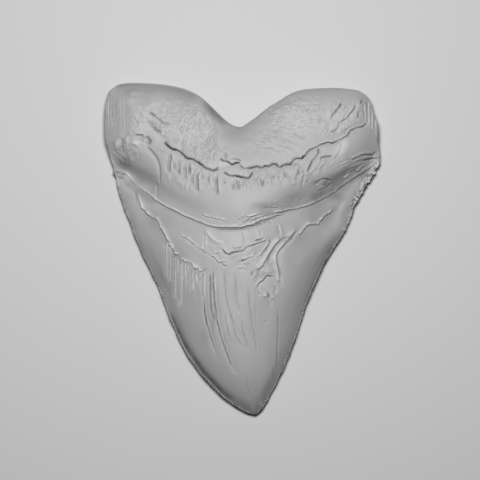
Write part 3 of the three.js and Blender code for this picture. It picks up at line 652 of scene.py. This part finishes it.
# Paints a dark oval of shade
def paint_shade_patch(face, spot):
    vertices, away = face.oval(spot.centre, spot.reach)
    face.surface.color(vertices, spot.painted_shade * np.sqrt(hump(away)), 0)


def metres(name, description, default):
    return FloatProperty(name=name, description=description, default=default, unit="LENGTH")


def grey(name, description, default):
    return FloatVectorProperty(name=name, description=description, default=(default,) * 3, subtype="COLOR")


class ToothShape(PropertyGroup):
    subdivisions: IntProperty(
        name="Subdivisions", description="Times the solid's faces are split", default=3, min=1)
    triangles: IntProperty(
        name="Triangles", description="Most triangles of the finished tooth", default=196000)
    serration: metres("Serration", "Length of one tooth of the cutting edge", 1.05 * MM)
    serration_depth: metres("Serration depth", "How deep the cutting edge is notched", 0.3 * MM)
    chip_depth: metres("Chip depth", "How deep the right shoulder is chipped", 0.45 * MM)
    crumbs: metres("Crumbs", "Height of the crumbs on the right shoulder", 0.75 * MM)


class FossilFinish(PropertyGroup):
    light_color: grey("Light colour", "Colour of the lighter clouds", 0.5)
    dark_color: grey("Dark colour", "Colour of the darker clouds", 0.46)
    # Colours of the painted highlight and the painted shade, and how much of the painted shade shows
    highlight_color: grey("Highlight colour", "Colour of the highlights painted on lips and edges", 0.7)
    shade_color: grey("Shade colour", "Colour of the shade painted in cracks and hollows", 0.03)
    painted_shade: FloatProperty(
        name="Painted shade", description="Share of the painted shade that shows", default=1.0, subtype="FACTOR")
    roughness: FloatProperty(
        name="Roughness", description="Roughness of the tooth", default=0.6, subtype="FACTOR")


class StudioSettings(PropertyGroup):
    pixel: metres("Pixel", "Width of one picture element at the tooth", 0.3837 * MM)
    camera_height: metres("Camera height", "Height of the camera over the floor", 1.2)
    key_power: FloatProperty(
        name="Key light", description="Power of the key light", default=2.08, unit="POWER")
    key_distance: metres("Key distance", "Distance of the key light", 0.5)
    key_tilt: FloatProperty(
        name="Key tilt", description="Tilt of the key light from straight above", default=math.radians(14),
        subtype="ANGLE")
    key_turn: FloatProperty(
        name="Key turn", description="Turn of the key light from the root's side to the left",
        default=math.radians(6), subtype="ANGLE")
    key_size: metres("Key size", "Width of the key light", 0.12)
    fill: FloatProperty(
        name="Fill", description="Strength of the even light all round", default=0.03)
    floor_color: grey("Floor colour", "Colour of the floor", 0.7)


def mode(name):
    bpy.ops.object.mode_set(mode=name)


def apply_last(tooth):
    """Applies the newest modifier. It is hidden until then, so that it is worked out only once."""
    tooth.modifiers[-1].show_viewport = False
    bpy.ops.object.modifier_apply(modifier=tooth.modifiers[-1].name)


# Vertices of the solid this near are joined
JOINED = 0.001 * MM


def fine_copy(name, levels):
    """A copy of the solid with its vertices joined, its faces in fours and split evenly."""
    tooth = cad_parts[SOLID].copy()
    tooth.data = tooth.data.copy()
    tooth.name = tooth.data.name = name
    for key in list(tooth.keys()):
        del tooth[key]
    tooth.parent = None
    bpy.context.scene.collection.objects.link(tooth)
    bpy.ops.object.select_all(action="DESELECT")
    tooth.select_set(True)
    bpy.context.view_layer.objects.active = tooth
    mode("EDIT")
    bpy.ops.mesh.select_all(action="SELECT")
    bpy.ops.mesh.remove_doubles(threshold=JOINED)
    bpy.ops.mesh.tris_convert_to_quads(face_threshold=math.pi, shape_threshold=math.pi)
    mode("OBJECT")
    split_faces(tooth)
    split = tooth.modifiers.new("split", "SUBSURF")
    split.levels = split.render_levels = levels
    apply_last(tooth)
    return tooth


# How far in the serrations and the crumbs reach, and where along the right edge the crumbs end
SERRATED = 1.6
CRUMBLED = 3.2
CRUMBLED_LENGTH = 30

# How sharp a rim stays sharp, and how much
RIM_ANGLE = math.radians(50)
RIM_CREASE = 0.8

# The solid's faces are split once more along the cutting edges, and this far from lines of less than this
# half width, but only above this height
SPLIT_REACH = 1.6
NARROW = 1
SPLIT_HEIGHT = 1


def edge_rows(places, path, reach):
    """The vertices near a cutting edge, their distance from it and along it, and its length."""
    low, high = np.min(path, 0) - reach, np.max(path, 0) + reach
    near = np.flatnonzero(((places[:, :2] > low) & (places[:, :2] < high)).all(1))
    away, along, length = measure(places[near, :2], path)
    close = np.abs(away) < reach
    return near[close], np.abs(away[close]), along[close], length


def split_faces(tooth):
    """Splits the faces along the cutting edges and the narrow lines."""
    mesh = tooth.data
    places = read(mesh.vertices, "co") / MM
    chosen = np.zeros(len(places), bool)
    for path in (LEFT_EDGE, RIGHT_EDGE):
        chosen[edge_rows(places, path, SERRATED)[0]] = True
    for strokes in STROKES:
        if strokes.width < NARROW:
            for path in strokes.paths:
                chosen |= np.abs(measure(places[:, :2], path)[0]) < SPLIT_REACH
    chosen &= places[:, 2] > SPLIT_HEIGHT
    mesh.vertices.foreach_set("select", chosen)
    mesh.edges.foreach_set("select", chosen[read(mesh.edges, "vertices", 2, int)].all(1))
    mesh.polygons.foreach_set("select", np.zeros(len(mesh.polygons), bool))
    bpy.context.tool_settings.mesh_select_mode = (False, True, False)
    mode("EDIT")
    bpy.ops.mesh.subdivide(number_cuts=1)
    bpy.ops.mesh.select_all(action="DESELECT")
    bpy.ops.mesh.edges_select_sharp(sharpness=RIM_ANGLE)
    bpy.ops.transform.edge_crease(value=RIM_CREASE)
    mode("OBJECT")


# The serrations: the level of their wave that lies on the edge, how far their pace and depth vary, where
# they fade out at the edge's ends, and how much of their push goes into height
NOTCH_LEVEL = 0.6
PACE_DRIFT = 0.5
DEPTH_DRIFT = 0.9
EDGE_RUN_OUT = 2
NOTCH_LIFT = 0.5

# The edges' painted highlight, how far it varies and what of it is left on the right edge, what of the
# serrations is lost where that edge is crumbled, and the lengths over which its chips and crumbs fade out
EDGE_HIGHLIGHT = 0.6
HIGHLIGHT_DRIFT = 0.5
RIGHT_HIGHLIGHT = 0.4
CRUMBLED_LOSS = 0.7
CHIPS_RUN_OUT = 8
CRUMBS_RUN_OUT = 15

# Lengths of the waves in which the serrations' pace, depth and painted highlight vary, and of coarse and
# fine chips
PACE_WAVE = 4
DEPTH_WAVE = 2.5
HIGHLIGHT_WAVE = 1.5
CHIP_WAVE = 1.7
FINE_CHIP_WAVE = 0.9

# Size of the crumbs, and the shade painted between them
CRUMB_SIZE = 1.2
CRUMB_SHADE = 0.8


def highlight_over_shade(surface, vertices, highlight_share, painted_shade):
    """Takes the painted shade off where a highlight is painted on the edge, and then adds new painted shade.
    """
    surface.painted_shade[vertices] *= 1 - highlight_share
    surface.color(vertices, painted_shade, highlight_share)


def notch_edges(surface, shape):
    """Cuts the serrations into both cutting edges, paints highlights along them, and chips the right one's
    shoulder.
    """
    for layer, path in enumerate((LEFT_EDGE, RIGHT_EDGE)):
        near, away, along, length = edge_rows(surface.places, path, SERRATED)
        spots = np.stack([along, np.zeros(len(along))], 1)
        pace = along * MM / shape.serration + PACE_DRIFT * wander(spots, PACE_WAVE, layer)
        teeth = np.abs(np.cos(math.pi * pace)) - NOTCH_LEVEL
        depth = 1 + DEPTH_DRIFT * wander(spots, DEPTH_WAVE, layer + 3)
        push = shape.serration_depth / MM * teeth * depth
        highlight_share = EDGE_HIGHLIGHT + HIGHLIGHT_DRIFT * wander(spots, HIGHLIGHT_WAVE, layer + 6)
        if path is RIGHT_EDGE:
            crumbled = smooth_step(CRUMBLED_LENGTH, CRUMBLED_LENGTH - CHIPS_RUN_OUT, along)
            chips = wander(spots, CHIP_WAVE, 13) + 0.5 * wander(spots, FINE_CHIP_WAVE, 17)
            push = push * (1 - CRUMBLED_LOSS * crumbled) + shape.chip_depth / MM * crumbled * chips
            highlight_share = highlight_share * RIGHT_HIGHLIGHT
        ends = smooth_step(0, EDGE_RUN_OUT, np.minimum(along, length - along))
        push = push * ends * hump(away / SERRATED)
        outward = surface.normals[near] * (1, 1, 0)
        outward /= np.maximum(np.linalg.norm(outward, axis=1), 0.2)[:, None]
        surface.places[near] += outward * push[:, None]
        surface.lift[near] += NOTCH_LIFT * push * smooth_step(-0.2, 0.4, surface.normals[near, 2])
        highlight_over_shade(surface, near, np.clip(highlight_share, 0, 1) * hump(away), 0)


def crumble(surface, shape):
    """Covers the right shoulder's edge in crumbs, with painted highlights on top and painted shade between.
    """
    near, away, along, _ = edge_rows(surface.places, RIGHT_EDGE, CRUMBLED)
    share = hump(away / CRUMBLED) * smooth_step(CRUMBLED_LENGTH, CRUMBLED_LENGTH - CRUMBS_RUN_OUT, along)
    lumps = crust(surface.plan[near], CRUMB_SIZE, 1, 0, 40)
    surface.lift[near] += shape.crumbs / MM * share * lumps
    highlight_share = share * np.clip(3 * lumps + 0.2, 0, 1)
    highlight_over_shade(surface, near, highlight_share, CRUMB_SHADE * share * np.clip(-2 * lumps, 0, 1))


def thin_out(tooth, triangles):
    """Joins faces where the surface is plain, down to the given number of triangles."""
    tooth.data.calc_loop_triangles()
    thin = tooth.modifiers.new("thin", "DECIMATE")
    thin.ratio = triangles / len(tooth.data.loop_triangles)
    thin.use_collapse_triangulate = True
    apply_last(tooth)


# A face is on plain ground where its corners' normals are this upright on the average, and folded where its
# own normal agrees with one of them less than this. Such faces are smoothed out so many times.
PLAIN = 0.6
FOLDED = 0.3
SMOOTHINGS = 3


def unfold(tooth):
    """Smooths out the small faces that the thinning folded over on plain ground."""
    mesh = tooth.data
    bpy.context.tool_settings.mesh_select_mode = (True, False, False)
    for _ in range(SMOOTHINGS):
        normals = read(mesh.vertices, "normal")
        faces = read(mesh.loops, "vertex_index", 1, int).reshape(-1, 3)
        facing = read(mesh.polygons, "normal")
        agreement = (normals[faces] * facing[:, None]).sum(2).min(1)
        plain = np.abs(normals[faces, 2].mean(1)) > PLAIN
        chosen = np.zeros(len(mesh.vertices), bool)
        chosen[faces[(agreement < FOLDED) & plain]] = True
        mode("EDIT")
        bpy.ops.mesh.select_all(action="DESELECT")
        mode("OBJECT")
        mesh.vertices.foreach_set("select", chosen)
        mode("EDIT")
        bpy.ops.mesh.vertices_smooth(factor=0.5, repeat=3)
        mode("OBJECT")


class Number:
    """A number that varies over a surface. Sums on it add Math nodes to its material."""

    def __init__(self, material, socket):
        self.material = material
        self.socket = socket

    def math(self, operation, *terms):
        node = self.material.node("ShaderNodeMath", {"operation": operation}, dict(enumerate(terms)))
        return Number(self.material, node.outputs["Value"])

    def __add__(self, other):
        return self.math("ADD", self, other)

    def __sub__(self, other):
        return self.math("SUBTRACT", self, other)

    def __mul__(self, other):
        return self.math("MULTIPLY", self, other)

    __radd__ = __add__
    __rmul__ = __mul__


class Finish:
    """A material that is being made."""

    def __init__(self, name):
        self.made = bpy.data.materials.new(name)
        self.made.use_nodes = True
        self.tree = self.made.node_tree
        self.shader = self.tree.nodes["Principled BSDF"]

    def feed(self, node, sockets):
        """Sets a node's sockets, by name or place, to values or links them to other sockets."""
        for key, value in sockets.items():
            value = value.socket if isinstance(value, Number) else value
            if isinstance(value, bpy.types.NodeSocket):
                self.tree.links.new(value, node.inputs[key])
            else:
                node.inputs[key].default_value = value

    def node(self, kind, settings, sockets):
        """A new node with its settings made first, and then its sockets."""
        node = self.tree.nodes.new(kind)
        for key, value in settings.items():
            setattr(node, key, value)
        self.feed(node, sockets)
        return node

    def attribute(self, name):
        return Number(self, self.node("ShaderNodeAttribute", {"attribute_name": name}, {}).outputs["Fac"])

    def noise(self, places, size, detail):
        """Noise from 0 to 1 with lumps of the given size."""
        sockets = {"Vector": places, "Scale": 1 / size, "Detail": detail, "Roughness": 0.55}
        return Number(self, self.node("ShaderNodeTexNoise", {}, sockets).outputs["Fac"])

    def blend(self, share, first, second):
        """A colour between two."""
        sockets = {0: share, 6: first, 7: second}
        return self.node("ShaderNodeMix", {"data_type": "RGBA"}, sockets).outputs[2]


# Sizes of the colour's clouds and of the fine grain, and how deep and strong the grain is
CLOUD_SIZE = 14 * MM
SPECK_SIZE = 0.7 * MM
SPECK_DEPTH = 0.1 * MM
SPECK_STRENGTH = 0.2

# How much rougher dark clouds, high grain and the painted shade are
CLOUD_ROUGHNESS = 0.12
SPECK_ROUGHNESS = 0.15
SHADE_ROUGHNESS = 0.2


def fossil_material(settings):
    """Matt grey fossil with soft clouds and a fine grain, painted pale as highlights on lips and edges and
    dark as shade in cracks and hollows.
    """
    finish = Finish("fossil")
    places = finish.node("ShaderNodeTexCoord", {}, {}).outputs["Object"]
    clouds = finish.noise(places, CLOUD_SIZE, 4)
    specks = finish.noise(places, SPECK_SIZE, 3)
    painted_shade = finish.attribute("painted_shade")
    color = finish.blend(clouds, (*settings.light_color, 1), (*settings.dark_color, 1))
    # The painted highlight makes lips, edges and crumbs paler
    color = finish.blend(finish.attribute("painted_highlight"), color, (*settings.highlight_color, 1))
    # The painted shade darkens the colour in cracks, hollows and along rims
    color = finish.blend(painted_shade * painted_shade * settings.painted_shade, color, (*settings.shade_color, 1))
    grain = {"Height": specks, "Strength": SPECK_STRENGTH, "Distance": SPECK_DEPTH}
    bump = finish.node("ShaderNodeBump", {}, grain).outputs["Normal"]
    roughness = settings.roughness + CLOUD_ROUGHNESS * (clouds - 0.5)
    roughness = roughness + SPECK_ROUGHNESS * (specks - 0.5) + SHADE_ROUGHNESS * painted_shade
    finish.feed(finish.shader, {"Base Color": color, "Roughness": roughness, "Normal": bump})
    return finish.made


class FOSSIL_OT_tooth(Operator):
    """Gives the tooth its fine surface and finish"""

    bl_idname = "fossil.tooth"
    bl_label = "Tooth"

    def execute(self, context):
        shape = context.scene.tooth_shape
        tooth = fine_copy("tooth", shape.subdivisions)
        surface = Surface(tooth.data)
        inner, outer = Face(surface, 1), Face(surface, -1)
        pits = [Swell(place, (PIT_SIZE, PIT_SIZE), -PIT_DEPTH) for place in PITS]
        nodules = [Swell(place, (NODULE_SIZE, NODULE_SIZE), NODULE_HEIGHT, NODULE_HIGHLIGHT) for place in NODULES]
        for swelling in (*SWELLS, *pits, *nodules):
            swell(inner, swelling)
        for spot in SHADE_PATCHES:
            paint_shade_patch(inner, spot)
        for face, strokes_here, grains in ((inner, STROKES, GRAINS), (outer, OUTER_STROKES, OUTER_GRAINS)):
            for strokes in strokes_here:
                draw_strokes(face, strokes)
            for layer, grain in enumerate(grains):
                lay_grain(face, grain, layer)
        notch_edges(surface, shape)
        crumble(surface, shape)
        surface.write()
        # The painted shade and painted highlights go to the mesh as attributes
        for name, values in (("painted_shade", surface.painted_shade), ("painted_highlight", surface.painted_highlight)):
            tooth.data.attributes.new(name, "FLOAT", "POINT").data.foreach_set("value", values)
        thin_out(tooth, shape.triangles)
        unfold(tooth)
        Surface(tooth.data).write()
        bpy.ops.object.shade_smooth()
        tooth.data.materials.clear()
        tooth.data.materials.append(fossil_material(context.scene.fossil_finish))
        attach(tooth, "root")
        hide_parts(SOLID)
        return {"FINISHED"}


# The floor's size in metres, and its roughness
FLOOR_SIZE = 4
FLOOR_ROUGHNESS = 0.9

# The photograph's width and height and the tooth's centre in it, in pixels, the height at which a pixel has
# its given width, and the width of the camera's sensor in millimetres
PHOTO_SIZE = 480
TOOTH_CENTRE = (241.9, 248.9)
RIM_HEIGHT = 6 * MM
SENSOR_WIDTH = 36


def put(name, data):
    thing = bpy.data.objects.new(name, data)
    bpy.context.scene.collection.objects.link(thing)
    return thing


class FOSSIL_OT_studio(Operator):
    """Sets up the floor, the lights and the camera"""

    bl_idname = "fossil.studio"
    bl_label = "Studio"

    def execute(self, context):
        settings = context.scene.fossil_studio
        bpy.ops.mesh.primitive_plane_add(size=FLOOR_SIZE)
        floor = context.object
        floor.name = "floor"
        finish = Finish("floor")
        color = (*settings.floor_color, 1)
        finish.feed(finish.shader, {"Base Color": color, "Roughness": FLOOR_ROUGHNESS})
        floor.data.materials.append(finish.made)
        data = bpy.data.lights.new("key", "AREA")
        data.shape = "DISK"
        data.size = settings.key_size
        data.energy = settings.key_power
        key = put("key", data)
        turn = Matrix.Rotation(settings.key_turn, 4, "Z") @ Matrix.Rotation(-settings.key_tilt, 4, "X")
        key.matrix_world = turn @ Matrix.Translation((0, 0, settings.key_distance))
        world = bpy.data.worlds.new("world")
        world.use_nodes = True
        world.node_tree.nodes["Background"].inputs["Color"].default_value = (1, 1, 1, 1)
        world.node_tree.nodes["Background"].inputs["Strength"].default_value = settings.fill
        context.scene.world = world
        data = bpy.data.cameras.new("camera")
        data.lens = SENSOR_WIDTH * (settings.camera_height - RIM_HEIGHT) / (PHOTO_SIZE * settings.pixel)
        camera = put("camera", data)
        right = (PHOTO_SIZE / 2 - TOOTH_CENTRE[0]) * settings.pixel
        up = (TOOTH_CENTRE[1] - PHOTO_SIZE / 2) * settings.pixel
        camera.location = (right, up, settings.camera_height)
        context.scene.camera = camera
        context.scene.view_settings.view_transform = "Standard"
        return {"FINISHED"}


class FOSSIL_PT_panel(Panel):
    """Lists the tooth's and the studio's settings"""

    bl_idname = "FOSSIL_PT_panel"
    bl_label = "Fossil Tooth"
    bl_space_type = "VIEW_3D"
    bl_region_type = "UI"
    bl_category = "Fossil"

    def draw(self, context):
        for operator, groups in PANEL_ROWS.items():
            box = self.layout.box()
            for group in groups:
                settings = getattr(context.scene, group)
                for name in type(settings).__annotations__:
                    box.prop(settings, name)
            box.operator(operator)


GROUPS = {"tooth_shape": ToothShape, "fossil_finish": FossilFinish, "fossil_studio": StudioSettings}
PANEL_ROWS = {"fossil.tooth": ("tooth_shape", "fossil_finish"), "fossil.studio": ("fossil_studio",)}
CLASSES = (*GROUPS.values(), FOSSIL_OT_tooth, FOSSIL_OT_studio, FOSSIL_PT_panel)


def register():
    for cls in CLASSES:
        bpy.utils.register_class(cls)
    for name, group in GROUPS.items():
        setattr(bpy.types.Scene, name, PointerProperty(type=group))


def unregister():
    for name in GROUPS:
        delattr(bpy.types.Scene, name)
    for cls in reversed(CLASSES):
        bpy.utils.unregister_class(cls)


def main():
    register()
    bpy.ops.fossil.tooth()
    bpy.ops.fossil.studio()


if __name__ == "__main__":
    main()
